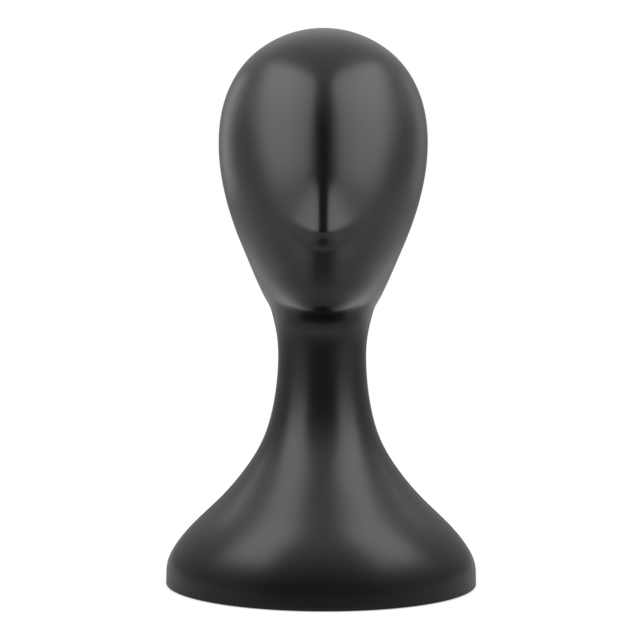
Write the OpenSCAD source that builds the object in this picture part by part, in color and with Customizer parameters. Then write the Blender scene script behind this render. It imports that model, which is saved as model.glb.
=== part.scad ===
// Display head for wigs: an abstract head on a long neck that flares into a broad oval base.
// The body is two moulded half shells that meet on the plane y = 0. A weighted plate closes
// the underside and stands on four rubber pads. The face looks towards -Y and +Z is up.
// The origin lies on the resting plane, under the middle of the oval base.

/* [Overall] */
// Height from the resting plane to the crown
overall_h = 398; // [380:2:420]
// Width of the base, side to side
base_w = 223; // [216:1:230]
// Depth of the base, front to back
base_d = 206; // [200:1:212]
// Width of the head at its widest
head_w = 151; // [146:1:156]
// Depth of the head, forehead to back of the skull
head_d = 187; // [182:1:190]

/* [Face] */
// How steeply the face falls back on both sides of the ridge down its middle
ridge_slope = 0.3; // [0.1:0.05:0.4]
// How far the tip of the nose stands out from the face
nose_h = 7; // [4:0.5:9]
// Height of the bridge of the nose, where it leaves the forehead
nose_root_z = 284; // [280:1:290]
// Height of the tip of the nose
nose_tip_z = 249; // [247:1:253]
// Height at which the underside of the nose has run out into the face
nose_end_z = 234.5; // [232:0.5:237]
// Half width of the nose at its bridge
nose_root_r = 5; // [4:0.5:8]
// Half width of the nose at its tip
nose_tip_r = 13.5; // [12:0.5:15]

/* [Shells] */
// Wall thickness of the half shells
wall = 3; // [2.4:0.2:3.6]
// Gap between the two half shells along their seam
seam_gap = 0.3; // [0.2:0.05:0.4]
// Clearance between the body and the surface that it stands on
foot_gap = 0.5; // [0.3:0.1:0.6]

/* [Base plate] */
// Thickness of the plate that closes the underside
plate_t = 4; // [3.6:0.2:5]
// Distance that the plate is set up into the shells
plate_recess = 1.5; // [1.2:0.1:1.6]
// Clearance between the plate and the shells
plate_clear = 0.4; // [0.3:0.05:0.6]
// Radius of a rubber pad
pad_r = 10; // [8:0.5:12]
// Thickness of a rubber pad
pad_t = 2.5; // [2.4:0.1:2.8]

/* [Ballast] */
// Radius of the iron ballast disc
ballast_r = 55; // [40:1:60]
// Thickness of the ballast disc
ballast_t = 9; // [6:0.5:12]
// Radius of the ballast bolt
bolt_r = 3; // [3:0.5:4]

/* [Hidden] */

satin_black = [0.03, 0.03, 0.032];
plate_black = [0.07, 0.07, 0.07];
rubber_grey = [0.16, 0.16, 0.16];
iron_grey = [0.30, 0.29, 0.28];
zinc = [0.72, 0.72, 0.74];

// --- Profile of the body -------------------------------------------------------------
// Control rows of two smooth forms: height, half width, depth to the front, depth to the
// back, for a display head of the reference size. The trunk is the base with the neck, and
// the head is an egg whose lower end sits in the cup at the top of the neck.
ref_h = 398;
ref_base_w = 223;
ref_base_d = 206;
ref_head_w = 151;
ref_head_d = 187;

trunk_rows = [
    [0, 111.5, 103, 103],
    [10, 111.5, 102, 102],
    [20, 110.5, 100, 100],
    [40, 96, 92, 87],
    [60, 73, 74.5, 67],
    [80, 56, 56.5, 52.5],
    [105, 39.5, 39.5, 39.5],
    [140, 32.5, 31.5, 34.5],
    [168, 31.3, 30.5, 37.3],
    [182, 33.3, 31, 41],
    [190, 35.3, 36, 44.3],
    [196, 36.8, 46, 47.6],
    [210, 40.5, 43, 55.5],
    [235, 42.5, 32, 66],
    [262, 30, 22, 46]
];
head_rows = [
    [192.3, 0, 0, 0],
    [191.8, 12, 50, 8],
    [194, 21, 69, 16],
    [202, 33.5, 75, 36],
    [216, 45.5, 78.5, 61],
    [246, 60.5, 81, 86],
    [280, 72, 88.5, 97],
    [315, 77, 91, 100],
    [350, 73, 84, 93],
    [379, 55.5, 63, 69],
    [396, 25.5, 30, 31],
    [399, 0, 0, 0]
];

up = overall_h / ref_h;
trunk_scale = [up, base_w / ref_base_w, base_d / ref_base_d, base_d / ref_base_d];
head_scale = [up, head_w / ref_head_w, head_d / ref_head_d, head_d / ref_head_d];
mirrored = [1, -1, -1, -1];

function scaled(rows, k) = [for (r = rows) [for (i = [0:3]) r[i] * k[i]]];
function flipped(row) = [for (i = [0:3]) row[i] * mirrored[i]];
// One more row at each end: the trunk runs on in a straight line, and the head closes
// smoothly over its own axis.
function run_on(rows) =
    let (n = len(rows))
    concat([2 * rows[0] - rows[1]], rows, [2 * rows[n - 1] - rows[n - 2]]);
function closed_over(rows) = concat([flipped(rows[1])], rows, [flipped(rows[len(rows) - 2])]);

trunk = run_on(scaled(trunk_rows, trunk_scale));
head = closed_over(scaled(head_rows, head_scale));

// Cubic B-spline through the rows at parameter s, which counts the rows
function row_at(rows, s) =
    let (k = min(floor(s), len(rows) - 4), u = s - k, v = 1 - u)
    (v * v * v * rows[k]
        + (3 * u * u * u - 6 * u * u + 4) * rows[k + 1]
        + (3 * v * v * v - 6 * v * v + 4) * rows[k + 2]
        + u * u * u * rows[k + 3]) / 6;
// The row at height z, found by halving the interval, and nothing outside the rows
halvings = 24;
function row_at_z(rows, z, low = 0, high = undef, left = halvings) =
    let (top = is_undef(high) ? len(rows) - 3 : high, middle = (low + top) / 2)
    left == 0
        ? row_at(rows, middle)
        : row_at(rows, middle)[0] < z
            ? row_at_z(rows, z, middle, top, left - 1)
            : row_at_z(rows, z, low, middle, left - 1);
function spans(rows, z) = z > row_at(rows, 0)[0] - 0.001 && z < row_at(rows, len(rows) - 3)[0];
function section(rows, z) = spans(rows, z) ? row_at_z(rows, z) : [z, 0, 0, 0];

// Radius of a half ellipse towards angle a, and of two forms joined by a soft fillet
function ellipse_r(half_w, depth, a) =
    half_w > 0 && depth > 0
        ? half_w * depth / sqrt(pow(depth * cos(a), 2) + pow(half_w * sin(a), 2))
        : 0;
function blended(p, q, soft, fillet) =
    let (h = max(soft - abs(p - q), 0) / soft)
    max(p, q) + fillet * h * h * h * soft / 6;
function eased(t) = let (u = min(max(t, 0), 1)) u * u * u * (u * (6 * u - 15) + 10);
side_soft = 24;
chin_soft = 14;
fillet_z = 190;
fillet_span = 18;

// Ridge down the middle of the face: it is sharpest at the bridge of the nose, and it runs
// out at the crown and under the chin. x is the distance from the middle.
ridge_z = 272;
ridge_sharp = 3;
ridge_soft = 9;
ridge_up_span = 85;
ridge_down_span = 44;
ridge_low_z = 196;
ridge_low_span = 30;
ridge_high_span = 60;
function ridge(x, level) =
    let (
        span = level > ridge_z ? ridge_up_span : ridge_down_span,
        away = min(abs(level - ridge_z) / span, 1),
        soft = ridge_sharp + (ridge_soft - ridge_sharp) * away * away,
        run_out = eased((ref_h - level) / ridge_high_span)
            * eased((level - ridge_low_z) / ridge_low_span)
    )
    ridge_slope * run_out * (sqrt(x * x + soft * soft) - soft);

// Nose on the front of the face
nose_droop = 0.018;
nose_power = 1.3;
function nose(x, level) =
    let (
        z = level - nose_droop * x * x,
        rise = max(nose_root_z - z, 0) / (nose_root_z - nose_tip_z),
        spread = nose_root_r + (nose_tip_r - nose_root_r) * min(rise, 1)
    )
    nose_h * pow(rise, nose_power) * eased((z - nose_end_z) / (nose_tip_z - nose_end_z))
        * exp(-x * x / (spread * spread));

// Point of the outline at height z towards angle a, with the trunk's row t and head's row h
function body_point(z, a, t, h) =
    let (
        level = z / up,
        rear = a > 0 && a < 180,
        forward = max(-sin(a), 0),
        soft = side_soft + (chin_soft - side_soft) * forward * forward,
        r_trunk = ellipse_r(t[1], rear ? t[3] : t[2], a),
        r_head = ellipse_r(h[1], rear ? h[3] : h[2], a),
        r = blended(r_trunk, r_head, soft, eased((level - fillet_z) / fillet_span)),
        x = r * cos(a),
        faced = forward > 0 && r_head > 0,
        rise = faced ? nose(x, level) * min(forward * 3, 1) : 0,
        fall = faced ? ridge(x, level) * forward : 0
    )
    [x, r * sin(a) - rise + fall, z];

// --- Grid of the body ----------------------------------------------------------------
// Heights of the rings, close together where the outline turns: at the foot, under the
// chin, round the nose and over the crown
crown_turn_z = 318;
ring_z = concat(
    [foot_gap, 6, 12, 18, 24, 30],
    [for (z = [38:9:173]) z],
    [180, 185, 188.5, 191, 192.25, 192.7, 193.6, 195, 198, 202, 207, 213, 220, 227],
    [for (z = [233:3.5:254]) z],
    [for (z = [262:8:310]) z],
    [for (a = [4:8:84]) crown_turn_z + (ref_h - crown_turn_z) * sin(a)]
);
rings = len(ring_z);

// Columns round the body, evenly over the rear and closer together along the face's ridge
rear_columns = 30;
front_columns = 40;
columns = rear_columns + front_columns;
bunching = 0.35;
function bunched(u) = u * (1 - bunching) + u * u * u * bunching;
column_angles = concat(
    [for (c = [0:rear_columns - 1]) 180 * c / rear_columns],
    [for (c = [0:front_columns - 1]) 270 + 90 * bunched(2 * c / front_columns - 1)]
);
crown = [0, 0, overall_h];

outer = [
    for (level = ring_z)
        let (z = level == foot_gap ? foot_gap : level * up, t = section(trunk, z), h = section(head, z))
        [for (a = column_angles) body_point(z, a, t, h)]
];
function unit(v) = v / norm(v);
function around(c) = (c + columns) % columns;
// Outward normal from the neighbours on the grid. The foot's wall stands upright.
function normal_at(i, c) =
    let (
        along = outer[i][around(c + 1)] - outer[i][around(c - 1)],
        top = i == rings - 1 ? crown : outer[i + 1][c],
        rise = i == 0 ? [0, 0, 1] : top - outer[i - 1][c]
    )
    unit(cross(along, rise));
inner = [
    for (i = [0:rings - 1])
        [for (c = [0:columns - 1]) outer[i][c] - wall * normal_at(i, c)]
];

// Half of the body, so many columns on from the first one: side is 1 for the rear and -1
// for the front
module half_shell(first, last, side) {
    width = last + 1;
    function parted(p, c) = c == 0 || c == last ? [p[0], side * seam_gap / 2, p[2]] : p;
    function sheet(grid) = [
        for (i = [0:rings - 1]) for (c = [0:last]) parted(grid[i][around(first + c)], c)
    ];
    function out_at(i, c) = i * width + c;
    function in_at(i, c) = (rings + i) * width + c;
    crown_out = 2 * rings * width;
    crown_in = crown_out + 1;
    function quad(p, q, r, s) = [[p, q, r], [p, r, s]];
    seam_y = [0, side * seam_gap / 2, 0];
    faces = [
        for (i = [0:rings - 2]) for (c = [0:last - 1]) each concat(
            quad(out_at(i, c), out_at(i + 1, c), out_at(i + 1, c + 1), out_at(i, c + 1)),
            quad(in_at(i, c), in_at(i, c + 1), in_at(i + 1, c + 1), in_at(i + 1, c))
        ),
        for (c = [0:last - 1]) each concat(
            quad(out_at(0, c), out_at(0, c + 1), in_at(0, c + 1), in_at(0, c)),
            [[out_at(rings - 1, c), crown_out, out_at(rings - 1, c + 1)]],
            [[in_at(rings - 1, c), in_at(rings - 1, c + 1), crown_in]]
        ),
        for (i = [0:rings - 2]) each concat(
            quad(in_at(i, 0), in_at(i + 1, 0), out_at(i + 1, 0), out_at(i, 0)),
            quad(out_at(i, last), out_at(i + 1, last), in_at(i + 1, last), in_at(i, last))
        ),
        each quad(in_at(rings - 1, 0), crown_in, crown_out, out_at(rings - 1, 0)),
        each quad(out_at(rings - 1, last), crown_out, crown_in, in_at(rings - 1, last))
    ];
    polyhedron(
        points = concat(sheet(outer), sheet(inner), [crown + seam_y, crown - [0, 0, wall] + seam_y]),
        faces = faces,
        convexity = 8
    );
}

module front_shell() {
    color(satin_black) half_shell(rear_columns, front_columns, -1);
}

module rear_shell() {
    color(satin_black) half_shell(0, rear_columns, 1);
}

// --- Underside -----------------------------------------------------------------------
plate_z = foot_gap + plate_recess;
plate_top = plate_z + plate_t;
outline_steps = 96;

// Outline of the plate, set in from the body's own outline just above the foot
module plate_outline() {
    inset = wall + plate_clear;
    row = trunk[2];
    polygon([
        for (a = [0:360 / outline_steps:359])
            [(row[1] - inset) * cos(a), (row[a < 180 ? 3 : 2] - inset) * sin(a)]
    ]);
}

// Countersunk screw standing on its head, with its head's flat face at z = 0
module countersunk(head_r, head_h, shank_r, length) {
    rotate_extrude($fn = 48)
        polygon([[0, 0], [head_r, 0], [shank_r, head_h], [shank_r, length], [0, length]]);
}

// The four places of the screw blocks and of the pads
screw_x = 66;
screw_y = 54;
pad_x = 58;
pad_y = 68;
module at_corners(x, y) {
    for (sx = [-1, 1]) for (sy = [-1, 1]) translate([sx * x, sy * y, 0]) children();
}

fit = 0.1;
screw_r = 1.75;
screw_head_r = 3.6;
screw_head_h = 2;
screw_length = 16;
block_r = 5.5;
block_h = 18;
rib_t = 4;
rib_reach = 17.3;

// Screw blocks: round posts, each with a rib that is cemented to the shell's wall
module screw_blocks() {
    color(satin_black)
        for (sx = [-1, 1]) for (sy = [-1, 1])
            translate([sx * screw_x, sy * screw_y, plate_top])
                difference() {
                    union() {
                        cylinder(r = block_r, h = block_h, $fn = 64);
                        rotate([0, 0, atan2(sy * screw_y, sx * screw_x)])
                            translate([0, -rib_t / 2, 0])
                                cube([rib_reach, rib_t, block_h / 2]);
                    }
                    translate([0, 0, -1])
                        cylinder(r = screw_r + fit, h = block_h - 1, $fn = 48);
                }
}

module base_plate() {
    pocket_h = pad_t - plate_z;
    bolt_head_h = bolt_r;
    color(plate_black)
        difference() {
            translate([0, 0, plate_z])
                linear_extrude(height = plate_t) plate_outline();
            at_corners(screw_x, screw_y) {
                translate([0, 0, plate_z - 1])
                    cylinder(r = screw_r + fit, h = plate_t + 2, $fn = 48);
                translate([0, 0, plate_z])
                    cylinder(r1 = screw_head_r + fit, r2 = screw_r + fit, h = screw_head_h, $fn = 48);
            }
            at_corners(pad_x, pad_y)
                translate([0, 0, plate_z - 1])
                    cylinder(r = pad_r + fit, h = pocket_h + 1, $fn = 64);
            translate([0, 0, plate_z - 1]) cylinder(r = bolt_r + fit, h = plate_t + 2, $fn = 48);
            translate([0, 0, plate_z])
                cylinder(r1 = 2 * bolt_r + fit, r2 = bolt_r + fit, h = bolt_head_h, $fn = 48);
        }
}

module base_screws() {
    color(zinc)
        at_corners(screw_x, screw_y)
            translate([0, 0, plate_z])
                countersunk(screw_head_r, screw_head_h, screw_r, screw_length);
}

module foot_pads() {
    color(rubber_grey) at_corners(pad_x, pad_y) cylinder(r = pad_r, h = pad_t, $fn = 64);
}

// --- Ballast -------------------------------------------------------------------------
washer_r = 2.2 * bolt_r;
washer_t = 1.6;
nut_r = 1.9 * bolt_r;
nut_h = 1.7 * bolt_r;
ballast_top = plate_top + ballast_t;
bolt_length = ballast_top + washer_t + nut_h + bolt_r - plate_z;

module ballast_weight() {
    rim = 2;
    color(iron_grey)
        difference() {
            translate([0, 0, plate_top])
                rotate_extrude($fn = 96)
                    polygon([
                        [0, 0], [ballast_r, 0], [ballast_r, ballast_t - rim],
                        [ballast_r - rim, ballast_t], [0, ballast_t]
                    ]);
            translate([0, 0, plate_top - 1]) cylinder(r = bolt_r + fit, h = ballast_t + 2, $fn = 48);
        }
}

module ballast_bolt() {
    color(zinc)
        translate([0, 0, plate_z]) countersunk(2 * bolt_r, bolt_r, bolt_r, bolt_length);
}

module ballast_washer() {
    color(zinc)
        translate([0, 0, ballast_top])
            difference() {
                cylinder(r = washer_r, h = washer_t, $fn = 64);
                translate([0, 0, -1]) cylinder(r = bolt_r + fit, h = washer_t + 2, $fn = 48);
            }
}

module ballast_nut() {
    color(zinc)
        translate([0, 0, ballast_top + washer_t])
            difference() {
                cylinder(r = nut_r, h = nut_h, $fn = 6);
                translate([0, 0, -1]) cylinder(r = bolt_r + fit / 2, h = nut_h + 2, $fn = 48);
            }
}

front_shell();
rear_shell();
screw_blocks();
base_plate();
base_screws();
foot_pads();
ballast_weight();
ballast_bolt();
ballast_washer();
ballast_nut();
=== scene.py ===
"""Looks of the wig display head: two satin black half shells on a closed, padded base."""

import math

import bmesh
import bpy
import numpy as np
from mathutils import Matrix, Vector


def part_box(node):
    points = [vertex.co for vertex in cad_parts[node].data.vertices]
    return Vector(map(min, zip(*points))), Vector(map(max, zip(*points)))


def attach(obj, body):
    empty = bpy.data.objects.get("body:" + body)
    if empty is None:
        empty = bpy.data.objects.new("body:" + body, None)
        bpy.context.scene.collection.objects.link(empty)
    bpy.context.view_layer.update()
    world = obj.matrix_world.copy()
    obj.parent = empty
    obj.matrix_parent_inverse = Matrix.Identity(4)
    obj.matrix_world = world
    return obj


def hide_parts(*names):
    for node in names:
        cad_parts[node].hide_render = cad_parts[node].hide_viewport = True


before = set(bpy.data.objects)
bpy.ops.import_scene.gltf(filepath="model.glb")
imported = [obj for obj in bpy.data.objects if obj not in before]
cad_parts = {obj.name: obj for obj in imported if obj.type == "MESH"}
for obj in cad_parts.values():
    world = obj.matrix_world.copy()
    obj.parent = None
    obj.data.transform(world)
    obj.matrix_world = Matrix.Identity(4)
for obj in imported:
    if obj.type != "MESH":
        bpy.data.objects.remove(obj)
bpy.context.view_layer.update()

MM = 0.001


# --- Driving sizes, from the frame ---------------------------------------------------

shell_low, shell_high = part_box("front_shell")

OVERALL_H = shell_high.z / MM
FOOT_GAP = shell_low.z / MM
WALL = 3.0
# Cement fills nearly all of the gap that the CAD shells leave between them.
SEAM_GAP = 0.04

# --- Profile of the body, in millimetres ---------------------------------------------
# Control rows of the two forms that make the body: height, half width, depth to the
# front, depth to the back. They are the ones that the CAD shells are made from.

TRUNK_ROWS = [
    (0, 111.5, 103, 103),
    (10, 111.5, 102, 102),
    (20, 110.5, 100, 100),
    (40, 96, 92, 87),
    (60, 73, 74.5, 67),
    (80, 56, 56.5, 52.5),
    (105, 39.5, 39.5, 39.5),
    (140, 32.5, 31.5, 34.5),
    (168, 31.3, 30.5, 37.3),
    (182, 33.3, 31, 41),
    (190, 35.3, 36, 44.3),
    (196, 36.8, 46, 47.6),
    (210, 40.5, 43, 55.5),
    (235, 42.5, 32, 66),
    (262, 30, 22, 46),
]
HEAD_ROWS = [
    (192.3, 0, 0, 0),
    (191.8, 12, 50, 8),
    (194, 21, 69, 16),
    (202, 33.5, 75, 36),
    (216, 45.5, 78.5, 61),
    (246, 60.5, 81, 86),
    (280, 72, 88.5, 97),
    (315, 77, 91, 100),
    (350, 73, 84, 93),
    (379, 55.5, 63, 69),
    (396, 25.5, 30, 31),
    (399, 0, 0, 0),
]
MIRRORED = np.array([1.0, -1.0, -1.0, -1.0])

SIDE_SOFT = 24.0
CHIN_SOFT = 14.0
FILLET_Z = 190.0
FILLET_SPAN = 18.0
RIDGE_SLOPE = 0.3
RIDGE_Z = 272.0
RIDGE_SHARP = 3.0
RIDGE_SOFT = 9.0
RIDGE_UP_SPAN = 85.0
RIDGE_DOWN_SPAN = 44.0
RIDGE_LOW_Z = 196.0
RIDGE_LOW_SPAN = 30.0
RIDGE_HIGH_SPAN = 60.0
NOSE_H = 7.0
NOSE_ROOT_Z = 284.0
NOSE_TIP_Z = 249.0
NOSE_END_Z = 234.5
NOSE_ROOT_R = 5.0
NOSE_TIP_R = 13.5
NOSE_DROOP = 0.018
NOSE_POWER = 1.3
SEARCH_STEPS = 40


def run_on(rows):
    """The rows with one more at each end, in a straight line."""
    r = np.array(rows, float)
    return np.vstack([2 * r[0] - r[1], r, 2 * r[-1] - r[-2]])


def closed_over(rows):
    """The rows with one more at each end, mirrored over the axis, so the form closes."""
    r = np.array(rows, float)
    return np.vstack([r[1] * MIRRORED, r, r[-2] * MIRRORED])


TRUNK = run_on(TRUNK_ROWS)
HEAD = closed_over(HEAD_ROWS)


def row_at(rows, s):
    """Cubic B-spline through the rows at parameter s, which counts the rows."""
    k = min(int(s), len(rows) - 4)
    u = s - k
    v = 1 - u
    weights = (v**3, 3 * u**3 - 6 * u**2 + 4, 3 * v**3 - 6 * v**2 + 4, u**3)
    return sum(w * rows[k + i] for i, w in enumerate(weights)) / 6


def section(rows, z):
    """Half width, front depth and back depth at height z, all nothing beyond the rows."""
    low, high = 0.0, len(rows) - 3.0
    if z <= row_at(rows, low)[0] - 1e-3 or z >= row_at(rows, high)[0]:
        return 0.0, 0.0, 0.0
    for _ in range(SEARCH_STEPS):
        middle = (low + high) / 2
        if row_at(rows, middle)[0] < z:
            low = middle
        else:
            high = middle
    return tuple(row_at(rows, (low + high) / 2)[1:])


def ellipse_r(half_w, depth, cos_a, sin_a):
    """Radius of a half ellipse in each direction."""
    depth = np.where(np.asarray(half_w) > 0, depth, 0)
    spread = np.sqrt((depth * cos_a) ** 2 + (half_w * sin_a) ** 2)
    return np.where(spread > 0, half_w * depth / np.maximum(spread, 1e-9), 0)


def blended(p, q, soft, fillet):
    """The larger of two radii, filleted smoothly where they are nearly the same."""
    h = np.maximum(soft - np.abs(p - q), 0) / soft
    return np.maximum(p, q) + fillet * h**3 * soft / 6


def eased(t):
    """From 0 to 1 as t goes from 0 to 1, with a gentle start and end."""
    u = np.clip(t, 0, 1)
    return u**3 * (u * (6 * u - 15) + 10)


def ridge(x, z):
    """How far the face falls back at distance x from the ridge down its middle."""
    span = RIDGE_UP_SPAN if z > RIDGE_Z else RIDGE_DOWN_SPAN
    away = min(abs(z - RIDGE_Z) / span, 1)
    soft = RIDGE_SHARP + (RIDGE_SOFT - RIDGE_SHARP) * away**2
    run_out = eased((OVERALL_H - z) / RIDGE_HIGH_SPAN)
    run_out *= eased((z - RIDGE_LOW_Z) / RIDGE_LOW_SPAN)
    return RIDGE_SLOPE * run_out * (np.hypot(x, soft) - soft)


def nose(x, z):
    """How far the nose stands out at distance x from the middle of the face."""
    zn = z - NOSE_DROOP * x * x
    rise = np.maximum(NOSE_ROOT_Z - zn, 0) / (NOSE_ROOT_Z - NOSE_TIP_Z)
    spread = NOSE_ROOT_R + (NOSE_TIP_R - NOSE_ROOT_R) * np.minimum(rise, 1)
    under = eased((zn - NOSE_END_Z) / (NOSE_TIP_Z - NOSE_END_Z))
    return NOSE_H * rise**NOSE_POWER * under * np.exp(-((x / spread) ** 2))


def ring(z, angles):
    """Points of the body's outline at height z, one for each angle in radians."""
    cos_a, sin_a = np.cos(angles), np.sin(angles)
    rear = sin_a > 0
    forward = np.maximum(-sin_a, 0)
    soft = SIDE_SOFT + (CHIN_SOFT - SIDE_SOFT) * forward**2
    t_w, t_front, t_back = section(TRUNK, z)
    h_w, h_front, h_back = section(HEAD, z)
    r_trunk = ellipse_r(t_w, np.where(rear, t_back, t_front), cos_a, sin_a)
    r_head = ellipse_r(h_w, np.where(rear, h_back, h_front), cos_a, sin_a)
    r = blended(r_trunk, r_head, soft, eased((z - FILLET_Z) / FILLET_SPAN))
    x = r * cos_a
    relief = np.where(r_head > 0, nose(x, z), 0) * np.minimum(forward * 3, 1)
    fall = np.where(r_head > 0, ridge(x, z), 0) * forward
    return np.column_stack([x, r * sin_a - relief + fall, np.full_like(x, z)])


# --- Mesh of the two shells ----------------------------------------------------------

COLUMNS_PER_HALF = 150
RING_STEP = 2.0
PROFILE_STEP = 0.1
FOOT_ROUND = 0.5
FOOT_ROUND_ANGLES = (0.0, 22.5, 45.0, 67.5)
MEASURED_LINES = (270.0, 0.0, 90.0, 285.0, 300.0, 315.0, 330.0)
SEAM_EASE = 2.0
SHARP_ANGLE = 35.0
# Rounded lip along the seam: distance from the shell's edge, and depth under the surface
SEAM_LIP = [(0.0, 0.9), (0.08, 0.55), (0.25, 0.26), (0.55, 0.07), (1.0, 0.0)]
LIP_END = SEAM_LIP[-1][0] + SEAM_GAP / 2


def ring_heights():
    """Heights of the rings, evenly spaced along the steepest of the measured lines."""
    z = np.arange(FOOT_GAP + FOOT_ROUND, OVERALL_H, PROFILE_STEP)
    lines = np.radians(MEASURED_LINES)
    reach = np.array([np.linalg.norm(ring(level, lines)[:, :2], axis=1) for level in z])
    steps = np.hypot(np.abs(np.diff(reach, axis=0)).max(axis=1), PROFILE_STEP)
    travel = np.concatenate([[0], np.cumsum(steps)])
    count = int(travel[-1] / RING_STEP)
    return np.interp(np.linspace(0, travel[-1], count), travel, z)


def body_grid():
    """Outer points of the whole body and their normals, ring by ring."""
    count = 2 * COLUMNS_PER_HALF
    angles = np.arange(count) * math.pi / COLUMNS_PER_HALF
    points = np.array([ring(z, angles) for z in ring_heights()])
    around = np.roll(points, -1, axis=1) - np.roll(points, 1, axis=1)
    crown = np.broadcast_to([0.0, 0.0, OVERALL_H], points[:1].shape)
    tall = np.concatenate([points[:1], points, crown])
    upward = tall[2:] - tall[:-2]
    upward[0] = (0, 0, 1)
    normals = np.cross(around, upward)
    normals /= np.linalg.norm(normals, axis=2, keepdims=True)
    return points, normals


def foot_rows(points, normals):
    """Rows that round the foot's outer edge, from its flat rim up to the first ring."""
    rows = []
    for angle in np.radians(FOOT_ROUND_ANGLES):
        row = points[0] - FOOT_ROUND * (1 - math.sin(angle)) * normals[0]
        row[:, 2] = FOOT_GAP + FOOT_ROUND * (1 - math.cos(angle))
        rows.append(row)
    return np.array(rows)


def half_shell(name, points, normals, first, side):
    """One half of the body, as a closed wall: side is 1 for the rear, -1 for the front."""
    picked = np.arange(first, first + COLUMNS_PER_HALF + 1) % points.shape[1]
    outer, normal = points[:, picked].copy(), normals[:, picked]
    inner = outer - WALL * normal
    foot = foot_rows(points, normals)[:, picked]
    outer = np.concatenate([foot, outer])
    normal = np.concatenate([np.repeat(normal[:1], len(foot), axis=0), normal])
    inner_foot = inner[:1].copy()
    inner_foot[..., 2] = FOOT_GAP
    inner = np.concatenate([inner_foot, inner])

    edge = side * SEAM_GAP / 2

    def parted(sheet):
        sheet[..., 1] += side * LIP_END * np.exp(-np.abs(sheet[..., 1]) / SEAM_EASE)

    seam_starts = outer[:, [0, -1]].copy()
    seam_normals = normal[:, [0, -1]]
    parted(outer)
    outer[:, [0, -1], 1] = side * LIP_END
    inner[..., 1] += edge * np.exp(-np.abs(inner[..., 1]) / SEAM_EASE)
    inner[:, [0, -1], 1] = edge

    lips = []
    for distance, depth in SEAM_LIP[:-1]:
        row = seam_starts - depth * seam_normals
        row[..., 1] = edge + side * distance
        lips.append(row)
    left = np.stack([l[:, 0] for l in lips], axis=1)
    right = np.stack([l[:, 1] for l in reversed(lips)], axis=1)
    outer = np.concatenate([left, outer, right], axis=1)

    bm = bmesh.new()

    def grid(sheet):
        return [[bm.verts.new(Vector(p) * MM) for p in row] for row in sheet]

    def face(*corners):
        kept = list(dict.fromkeys(corners))
        if len(kept) > 2:
            bm.faces.new(kept)

    out, ins = grid(outer), grid(inner)
    tops = [
        bm.verts.new(Vector((0, edge + side * distance, OVERALL_H - depth)) * MM)
        for distance, depth in SEAM_LIP
    ]
    inner_top = bm.verts.new(Vector((0, edge, OVERALL_H - WALL)) * MM)

    for sheet, turned in ((out, False), (ins, True)):
        for low, high in zip(sheet, sheet[1:]):
            for c in range(len(low) - 1):
                corners = (low[c], low[c + 1], high[c + 1], high[c])
                face(*(reversed(corners) if turned else corners))
    last_lip = len(SEAM_LIP) - 1
    high = out[-1]
    for c in range(len(high) - 1):
        here = tops[min(c, len(high) - 1 - c, last_lip)]
        after = tops[min(c + 1, len(high) - 2 - c, last_lip)]
        face(high[c], high[c + 1], after, here)
    for c in range(len(ins[-1]) - 1):
        face(ins[-1][c + 1], ins[-1][c], inner_top)

    # The flat rim at the foot, and the flat faces along the seam
    rim_out = out[0][last_lip:len(out[0]) - last_lip]
    for c in range(len(rim_out) - 1):
        face(rim_out[c + 1], rim_out[c], ins[0][c], ins[0][c + 1])
    seam_rows = len(foot) - 1
    for c, order in ((0, 1), (-1, -1)):
        foot_edge = out[0][:last_lip + 1] if c == 0 else out[0][-last_lip - 1:][::-1]
        corners = [ins[0][c]] + foot_edge[::-1]
        face(*corners[::order])
        corners = [ins[0][c]] + [row[c] for row in out[:seam_rows + 2]] + [ins[1][c]]
        face(*corners[::order])
        for i in range(1, len(ins) - 1):
            low, high_row = out[i + seam_rows], out[i + seam_rows + 1]
            face(*(ins[i][c], low[c], high_row[c], ins[i + 1][c])[::order])
        face(*(ins[-1][c], out[-1][c], tops[0], inner_top)[::order])

    bmesh.ops.recalc_face_normals(bm, faces=bm.faces)
    mesh = bpy.data.meshes.new(name)
    bm.to_mesh(mesh)
    bm.free()
    mesh.polygons.foreach_set("use_smooth", [True] * len(mesh.polygons))
    mesh.set_sharp_from_angle(angle=math.radians(SHARP_ANGLE))
    obj = bpy.data.objects.new(name, mesh)
    bpy.context.scene.collection.objects.link(obj)
    return obj


# --- Materials -----------------------------------------------------------------------

def node_adder(tree):
    """A function that adds a node to the tree, with its inputs set or linked."""
    def add(kind, inputs=None, **settings):
        node = tree.nodes.new(kind)
        for key, value in settings.items():
            setattr(node, key, value)
        for key, value in (inputs or {}).items():
            if isinstance(value, bpy.types.NodeSocket):
                tree.links.new(value, node.inputs[key])
            else:
                node.inputs[key].default_value = value
        return node

    return add


def material(name):
    """A new node material: itself, its shader, and functions to add and to link nodes."""
    mat = bpy.data.materials.new(name)
    mat.use_nodes = True
    tree = mat.node_tree
    return mat, tree.nodes["Principled BSDF"], node_adder(tree), tree.links.new


def noise(add, where, scale, detail=2.0, roughness=0.5):
    """Smooth noise with about this many waves a metre."""
    inputs = {"Vector": where, "Scale": scale, "Detail": detail, "Roughness": roughness}
    return add("ShaderNodeTexNoise", inputs).outputs["Fac"]


def remap(add, value, low, high, to_low, to_high, smooth=False):
    """The value's range from low to high, moved to the range from to_low to to_high."""
    node = add(
        "ShaderNodeMapRange",
        {"Value": value, "From Min": low, "From Max": high, "To Min": to_low, "To Max": to_high},
    )
    if smooth:
        node.interpolation_type = "SMOOTHSTEP"
    return node.outputs["Result"]


def mixed(add, factor, first, second):
    """A colour between two, each a colour or a socket."""
    node = add("ShaderNodeMix", data_type="RGBA")
    tree = node.id_data
    for index, value in ((0, factor), (6, first), (7, second)):
        if isinstance(value, bpy.types.NodeSocket):
            tree.links.new(value, node.inputs[index])
        else:
            node.inputs[index].default_value = value
    return node.outputs[2]


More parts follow.
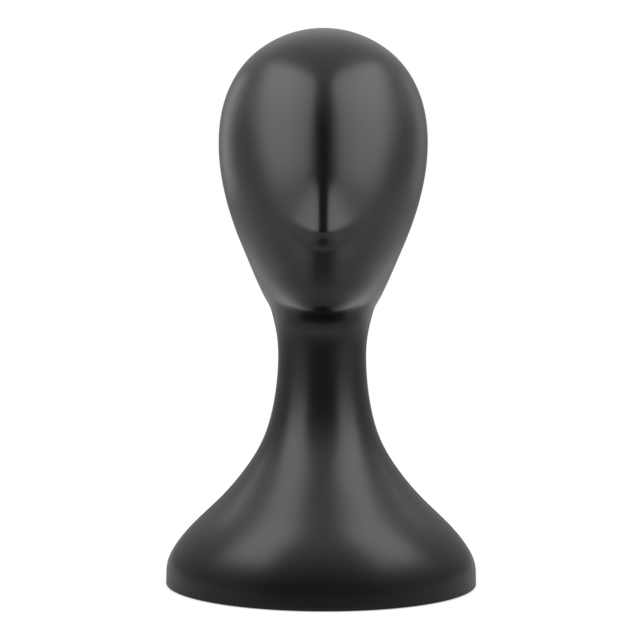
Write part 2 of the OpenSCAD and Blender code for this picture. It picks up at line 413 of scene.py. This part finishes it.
def maths(add, operation, first, second=0.0):
    """One sum of two numbers, each a number or a socket."""
    node = add("ShaderNodeMath", operation=operation)
    tree = node.id_data
    for index, value in ((0, first), (1, second)):
        if isinstance(value, bpy.types.NodeSocket):
            tree.links.new(value, node.inputs[index])
        else:
            node.inputs[index].default_value = value
    return node.outputs[0]


def edge_wear(add, where, radius, patch_scale):
    """Wear along the edges, up to radius away from them, in broken patches: 0 to 1."""
    rounded = add("ShaderNodeBevel", {"Radius": radius}, samples=6).outputs["Normal"]
    plain = add("ShaderNodeNewGeometry").outputs["Normal"]
    alike = add("ShaderNodeVectorMath", {0: rounded, 1: plain}, operation="DOT_PRODUCT")
    edge = remap(add, alike.outputs["Value"], 0.99, 0.85, 0.0, 1.0)
    patches = remap(add, noise(add, where, patch_scale, 4.0, 0.6), 0.40, 0.60, 0.15, 1.0)
    return maths(add, "MULTIPLY", edge, patches)


def satin_black():
    """Moulded plastic with a satin skin: faint mottling, a fine peel, a little dust."""
    mat, shader, add, link = material("satin_black_plastic")
    where = add("ShaderNodeNewGeometry").outputs["Position"]
    mottle = noise(add, where, 22.0, 3.0)
    grain = noise(add, where, 900.0, 2.0)
    colour = mixed(add, mottle, (0.0016, 0.0016, 0.0017, 1), (0.0028, 0.0028, 0.003, 1))
    cells = add("ShaderNodeTexVoronoi", {"Vector": where, "Scale": 150.0}).outputs
    speck = maths(
        add, "MULTIPLY",
        remap(add, cells["Distance"], 0.02, 0.05, 1.0, 0.0),
        remap(add, cells["Color"], 0.80, 0.82, 0.0, 1.0),
    )
    dusty = mixed(add, maths(add, "MULTIPLY", speck, 0.4), colour, (0.16, 0.16, 0.16, 1))
    wear = edge_wear(add, where, 0.0012, 120.0)
    scuffed = mixed(add, maths(add, "MULTIPLY", wear, 0.6), dusty, (0.035, 0.035, 0.036, 1))
    link(scuffed, shader.inputs["Base Color"])
    rough = maths(
        add, "ADD",
        remap(add, mottle, 0.3, 0.7, 0.30, 0.35),
        remap(add, grain, 0.3, 0.7, -0.01, 0.01),
    )
    link(maths(add, "ADD", rough, maths(add, "MULTIPLY", wear, 0.2)), shader.inputs["Roughness"])
    shader.inputs["IOR"].default_value = 1.4
    peel = add(
        "ShaderNodeBump",
        {"Strength": 0.03, "Distance": 0.0004, "Height": noise(add, where, 200.0, 2.0)},
    )
    link(peel.outputs["Normal"], shader.inputs["Normal"])
    return mat


def grained_black():
    """Injection-moulded plate with a spark-eroded grain."""
    mat, shader, add, link = material("grained_black_plastic")
    where = add("ShaderNodeNewGeometry").outputs["Position"]
    mottle = noise(add, where, 40.0, 3.0)
    colour = mixed(add, mottle, (0.020, 0.020, 0.021, 1), (0.034, 0.034, 0.035, 1))
    wear = edge_wear(add, where, 0.0009, 200.0)
    link(mixed(add, wear, colour, (0.11, 0.11, 0.108, 1)), shader.inputs["Base Color"])
    rough = remap(add, mottle, 0.3, 0.7, 0.48, 0.62)
    link(maths(add, "SUBTRACT", rough, maths(add, "MULTIPLY", wear, 0.12)), shader.inputs["Roughness"])
    grain = add(
        "ShaderNodeBump",
        {"Strength": 0.35, "Distance": 0.0004, "Height": noise(add, where, 1400.0, 3.0)},
    )
    link(grain.outputs["Normal"], shader.inputs["Normal"])
    return mat


def rubber():
    """Grey-black rubber, a little dusty."""
    mat, shader, add, link = material("pad_rubber")
    where = add("ShaderNodeNewGeometry").outputs["Position"]
    dust = noise(add, where, 180.0, 5.0, 0.65)
    dusty = remap(add, dust, 0.45, 0.75, 0, 1)
    colour = mixed(add, dusty, (0.03, 0.03, 0.03, 1), (0.10, 0.098, 0.09, 1))
    wear = edge_wear(add, where, 0.0008, 260.0)
    link(mixed(add, wear, colour, (0.15, 0.148, 0.14, 1)), shader.inputs["Base Color"])
    link(remap(add, dust, 0.3, 0.7, 0.72, 0.88), shader.inputs["Roughness"])
    skin = add(
        "ShaderNodeBump",
        {"Strength": 0.3, "Distance": 0.0003, "Height": noise(add, where, 2200.0)},
    )
    link(skin.outputs["Normal"], shader.inputs["Normal"])
    return mat


def cast_iron():
    """Rough iron casting with a little rust in its hollows."""
    mat, shader, add, link = material("cast_iron")
    where = add("ShaderNodeNewGeometry").outputs["Position"]
    pits = noise(add, where, 500.0, 6.0, 0.6)
    patch = noise(add, where, 55.0, 4.0)
    rust = remap(add, patch, 0.55, 0.7, 0.0, 0.7)
    colour = mixed(add, rust, (0.13, 0.125, 0.12, 1), (0.16, 0.07, 0.035, 1))
    wear = edge_wear(add, where, 0.001, 180.0)
    link(mixed(add, wear, colour, (0.32, 0.31, 0.30, 1)), shader.inputs["Base Color"])
    link(remap(add, rust, 0, 0.7, 0.85, 0.3), shader.inputs["Metallic"])
    link(remap(add, pits, 0.3, 0.7, 0.5, 0.75), shader.inputs["Roughness"])
    bump = add("ShaderNodeBump", {"Strength": 0.6, "Distance": 0.0006, "Height": pits})
    link(bump.outputs["Normal"], shader.inputs["Normal"])
    return mat


def zinc_plate():
    """Bright zinc plating, slightly clouded."""
    mat, shader, add, link = material("zinc_plate")
    where = add("ShaderNodeNewGeometry").outputs["Position"]
    cloud = noise(add, where, 300.0, 4.0)
    colour = mixed(add, cloud, (0.52, 0.53, 0.55, 1), (0.68, 0.68, 0.67, 1))
    wear = edge_wear(add, where, 0.0003, 700.0)
    link(mixed(add, wear, colour, (0.80, 0.79, 0.76, 1)), shader.inputs["Base Color"])
    shader.inputs["Metallic"].default_value = 1.0
    link(remap(add, cloud, 0.3, 0.7, 0.25, 0.42), shader.inputs["Roughness"])
    bump = add(
        "ShaderNodeBump",
        {"Strength": 0.15, "Distance": 0.0002, "Height": noise(add, where, 1600.0)},
    )
    link(bump.outputs["Normal"], shader.inputs["Normal"])
    return mat


def dress(obj, mat):
    """Give the object this material alone."""
    obj.data.materials.clear()
    obj.data.materials.append(mat)


# --- The pieces ----------------------------------------------------------------------

plastic = satin_black()
points, normals = body_grid()
for node, first, side in (("front_shell", COLUMNS_PER_HALF, -1), ("rear_shell", 0, 1)):
    shell = half_shell(node + "_skin", points, normals, first, side)
    dress(shell, plastic)
    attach(shell, "root")
    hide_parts(node)

zinc = zinc_plate()
finishes = {
    "screw_blocks": plastic,
    "base_plate": grained_black(),
    "foot_pads": rubber(),
    "ballast_weight": cast_iron(),
    "base_screws": zinc,
    "ballast_bolt": zinc,
    "ballast_washer": zinc,
    "ballast_nut": zinc,
}
for node, finish in finishes.items():
    dress(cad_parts[node], finish)


# --- Floor, light and camera ---------------------------------------------------------

CAMERA_DISTANCE = 0.98
CAMERA_HEIGHT = 0.1893
CAMERA_LENS = 76.2
CAMERA_SIDE = -0.0017
CAMERA_ROLL = math.radians(-0.28)
FLOOR_R = 2.0
FLOOR_FADE_FROM = 0.6
FLOOR_FADE_TO = 1.3
FLOOR_GLOW_SEEN = 0.5
FLOOR_GLOW_FAR = 0.25
# One over the radii of the opening under the base, which lets light reach the underside
UNDER_BASE = (1 / 0.108, 1 / 0.099, 0.0)

CEILING = 1.15
FAR_FLOOR = 1.0
SIDES = 0.42
ROOM = 0.04


def floor():
    """A wide disc of studio paper that looks white and fades into the surroundings; its colour is
    painted darker near the stand as painted shade, and it glows a little farther out as painted light.
    """
    bm = bmesh.new()
    bmesh.ops.create_circle(bm, cap_ends=True, radius=FLOOR_R, segments=96)
    mesh = bpy.data.meshes.new("studio_floor")
    bm.to_mesh(mesh)
    bm.free()
    obj = bpy.data.objects.new("studio_floor", mesh)
    bpy.context.scene.collection.objects.link(obj)
    mat, shader, add, link = material("studio_paper")
    where = add("ShaderNodeNewGeometry").outputs["Position"]
    fibre = noise(add, where, 400.0, 3.0)
    away = add("ShaderNodeVectorMath", {0: where}, operation="LENGTH").outputs["Value"]
    # Painted shade: the paper is darker near the stand and lighter farther out, standing in for the
    # shade that falls around the stand.
    near = mixed(add, fibre, (0.44, 0.44, 0.44, 1), (0.48, 0.48, 0.48, 1))
    far = mixed(add, fibre, (0.78, 0.78, 0.78, 1), (0.82, 0.82, 0.82, 1))
    beyond = remap(add, away, 0.2, 0.45, 0.0, 1.0, smooth=True)
    paper_with_painted_shade = mixed(add, beyond, near, far)
    link(paper_with_painted_shade, shader.inputs["Base Color"])
    shader.inputs["Roughness"].default_value = 0.9
    shader.inputs["Specular IOR Level"].default_value = 0.1
    shader.inputs["Emission Color"].default_value = (1, 1, 1, 1)
    # The paper glows evenly for the camera so it looks white, and glows a little farther out as
    # painted light.
    seen = add("ShaderNodeLightPath").outputs["Is Camera Ray"]
    shown = maths(add, "MULTIPLY", seen, FLOOR_GLOW_SEEN)
    glow = maths(add, "MAXIMUM", shown, maths(add, "MULTIPLY", beyond, FLOOR_GLOW_FAR))
    link(glow, shader.inputs["Emission Strength"])
    fade = remap(add, away, FLOOR_FADE_FROM, FLOOR_FADE_TO, 1.0, 0.0, smooth=True)
    below = add("ShaderNodeNewGeometry").outputs["Backfacing"]
    inside = add("ShaderNodeVectorMath", {0: where, 1: UNDER_BASE}, operation="MULTIPLY")
    reach = add("ShaderNodeVectorMath", {0: inside.outputs["Vector"]}, operation="LENGTH")
    open_under = remap(add, reach.outputs["Value"], 0.98, 1.0, 0.0, 1.0)
    fade = maths(add, "MULTIPLY", fade, open_under)
    link(maths(add, "MULTIPLY", fade, maths(add, "SUBTRACT", 1.0, below)), shader.inputs["Alpha"])
    dress(obj, mat)


def panel(name, azimuth, reach, height, lean, size, radiance):
    """A tall diffusing panel beside the head, leaning in over it."""
    angle, tilt = math.radians(azimuth), math.radians(lean)
    light = bpy.data.lights.new(name, "AREA")
    light.shape = "RECTANGLE"
    light.size, light.size_y = size
    light.energy = radiance * math.pi * light.size * light.size_y
    obj = bpy.data.objects.new(name, light)
    outward = Vector((math.sin(angle), -math.cos(angle), 0))
    obj.location = outward * reach + Vector((0, 0, height))
    aim = -outward * math.cos(tilt) - Vector((0, 0, math.sin(tilt)))
    obj.rotation_euler = aim.to_track_quat("-Z", "Y").to_euler()
    bpy.context.scene.collection.objects.link(obj)


def studio_world():
    """White surroundings that light the body as a bright ceiling, dimmer sides and a dark front."""
    world = bpy.data.worlds.new("studio")
    bpy.context.scene.world = world
    world.use_nodes = True
    tree = world.node_tree
    background = tree.nodes["Background"]
    add = node_adder(tree)
    toward = add("ShaderNodeTexCoord").outputs["Generated"]
    parts = add("ShaderNodeSeparateXYZ", {"Vector": toward})
    front = remap(add, parts.outputs["Y"], -0.95, -0.3, 1.0, 0.0, smooth=True)
    high = remap(add, parts.outputs["Z"], 0.25, 0.85, 0.0, 1.0, smooth=True)
    above = remap(add, parts.outputs["Z"], 0.1, 0.9, SIDES, CEILING, smooth=True)
    below = remap(add, parts.outputs["Z"], -0.2, 0.02, FAR_FLOOR, 0.0, smooth=True)
    level = maths(add, "MAXIMUM", above, below)
    dark = maths(add, "MULTIPLY", front, maths(add, "SUBTRACT", 1.0, high))
    bright = add("ShaderNodeCombineColor", {"Red": level, "Green": level, "Blue": level}).outputs[0]
    around = mixed(add, dark, bright, (ROOM, ROOM, ROOM, 1))
    seen = add("ShaderNodeLightPath").outputs["Is Camera Ray"]
    shown = mixed(add, seen, around, (1.0, 1.0, 1.0, 1))
    tree.links.new(shown, background.inputs["Color"])
    background.inputs["Strength"].default_value = 1.0


def camera():
    """A level camera in front of the face, at half the height of the stand."""
    data = bpy.data.cameras.new("camera")
    data.sensor_width = 36.0
    data.lens = CAMERA_LENS
    obj = bpy.data.objects.new("camera", data)
    obj.location = (CAMERA_SIDE, -CAMERA_DISTANCE, CAMERA_HEIGHT)
    obj.rotation_euler = (math.pi / 2, CAMERA_ROLL, 0)
    bpy.context.scene.collection.objects.link(obj)
    bpy.context.scene.camera = obj


floor()
studio_world()
for side, name, rim_radiance in ((-1, "left", 1.5), (1, "right", 0.7)):
    panel(name + "_panel", side * 59 + 1, 0.30, 0.397, 28, (0.28, 0.385), 3.8)
    panel(name + "_rim_panel", side * 122, 0.36, 0.39, 0, (0.11, 0.28), rim_radiance)
camera()
bpy.context.scene.view_settings.view_transform = "Standard"
